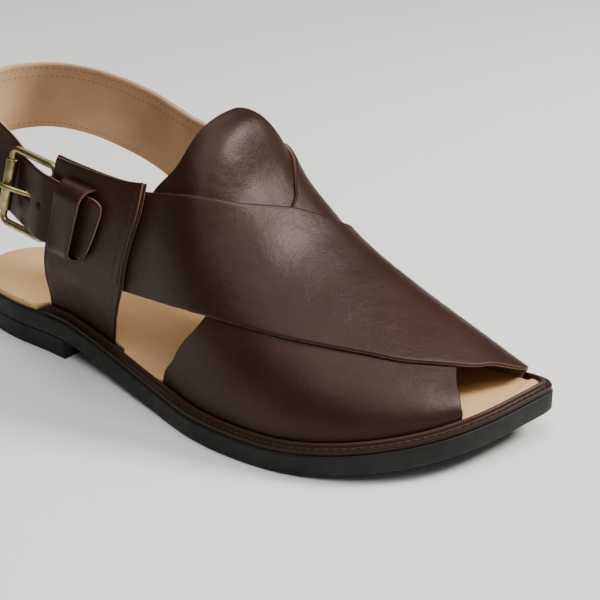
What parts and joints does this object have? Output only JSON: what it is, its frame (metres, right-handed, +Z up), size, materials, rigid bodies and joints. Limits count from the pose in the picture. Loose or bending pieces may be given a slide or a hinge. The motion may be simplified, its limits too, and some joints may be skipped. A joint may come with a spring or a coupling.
{
  "type": "peshawari chappal",
  "caption": "Open leather sandal with crossed broad straps, raised tongue, welted rubber sole and a buckled heel strap.",
  "frame": {"origin": "on the floor, under the middle of the shoe's overall box", "axes": "+X towards the toe, +Y towards the inner side of the foot, +Z up"},
  "size_m": [0.2898, 0.1154, 0.12],
  "materials": {
    "brown_leather": "smooth, lightly polished",
    "tan_leather": "smooth, matt",
    "sole_rubber": "matt",
    "antique_brass": "aged, half polished"
  },
  "bodies": {
    "root": {"outsole": "sole_rubber", "heel": "sole_rubber", "insole": "tan_leather", "welt": "brown_leather", "upper": "brown_leather", "quarter_outer": "brown_leather", "quarter_inner": "brown_leather", "heel_strap": "brown_leather", "keeper": "brown_leather", "buckle_frame": "antique_brass", "buckle_roller": "antique_brass", "buckle_prong": "antique_brass"}
  },
  "joints": []
}
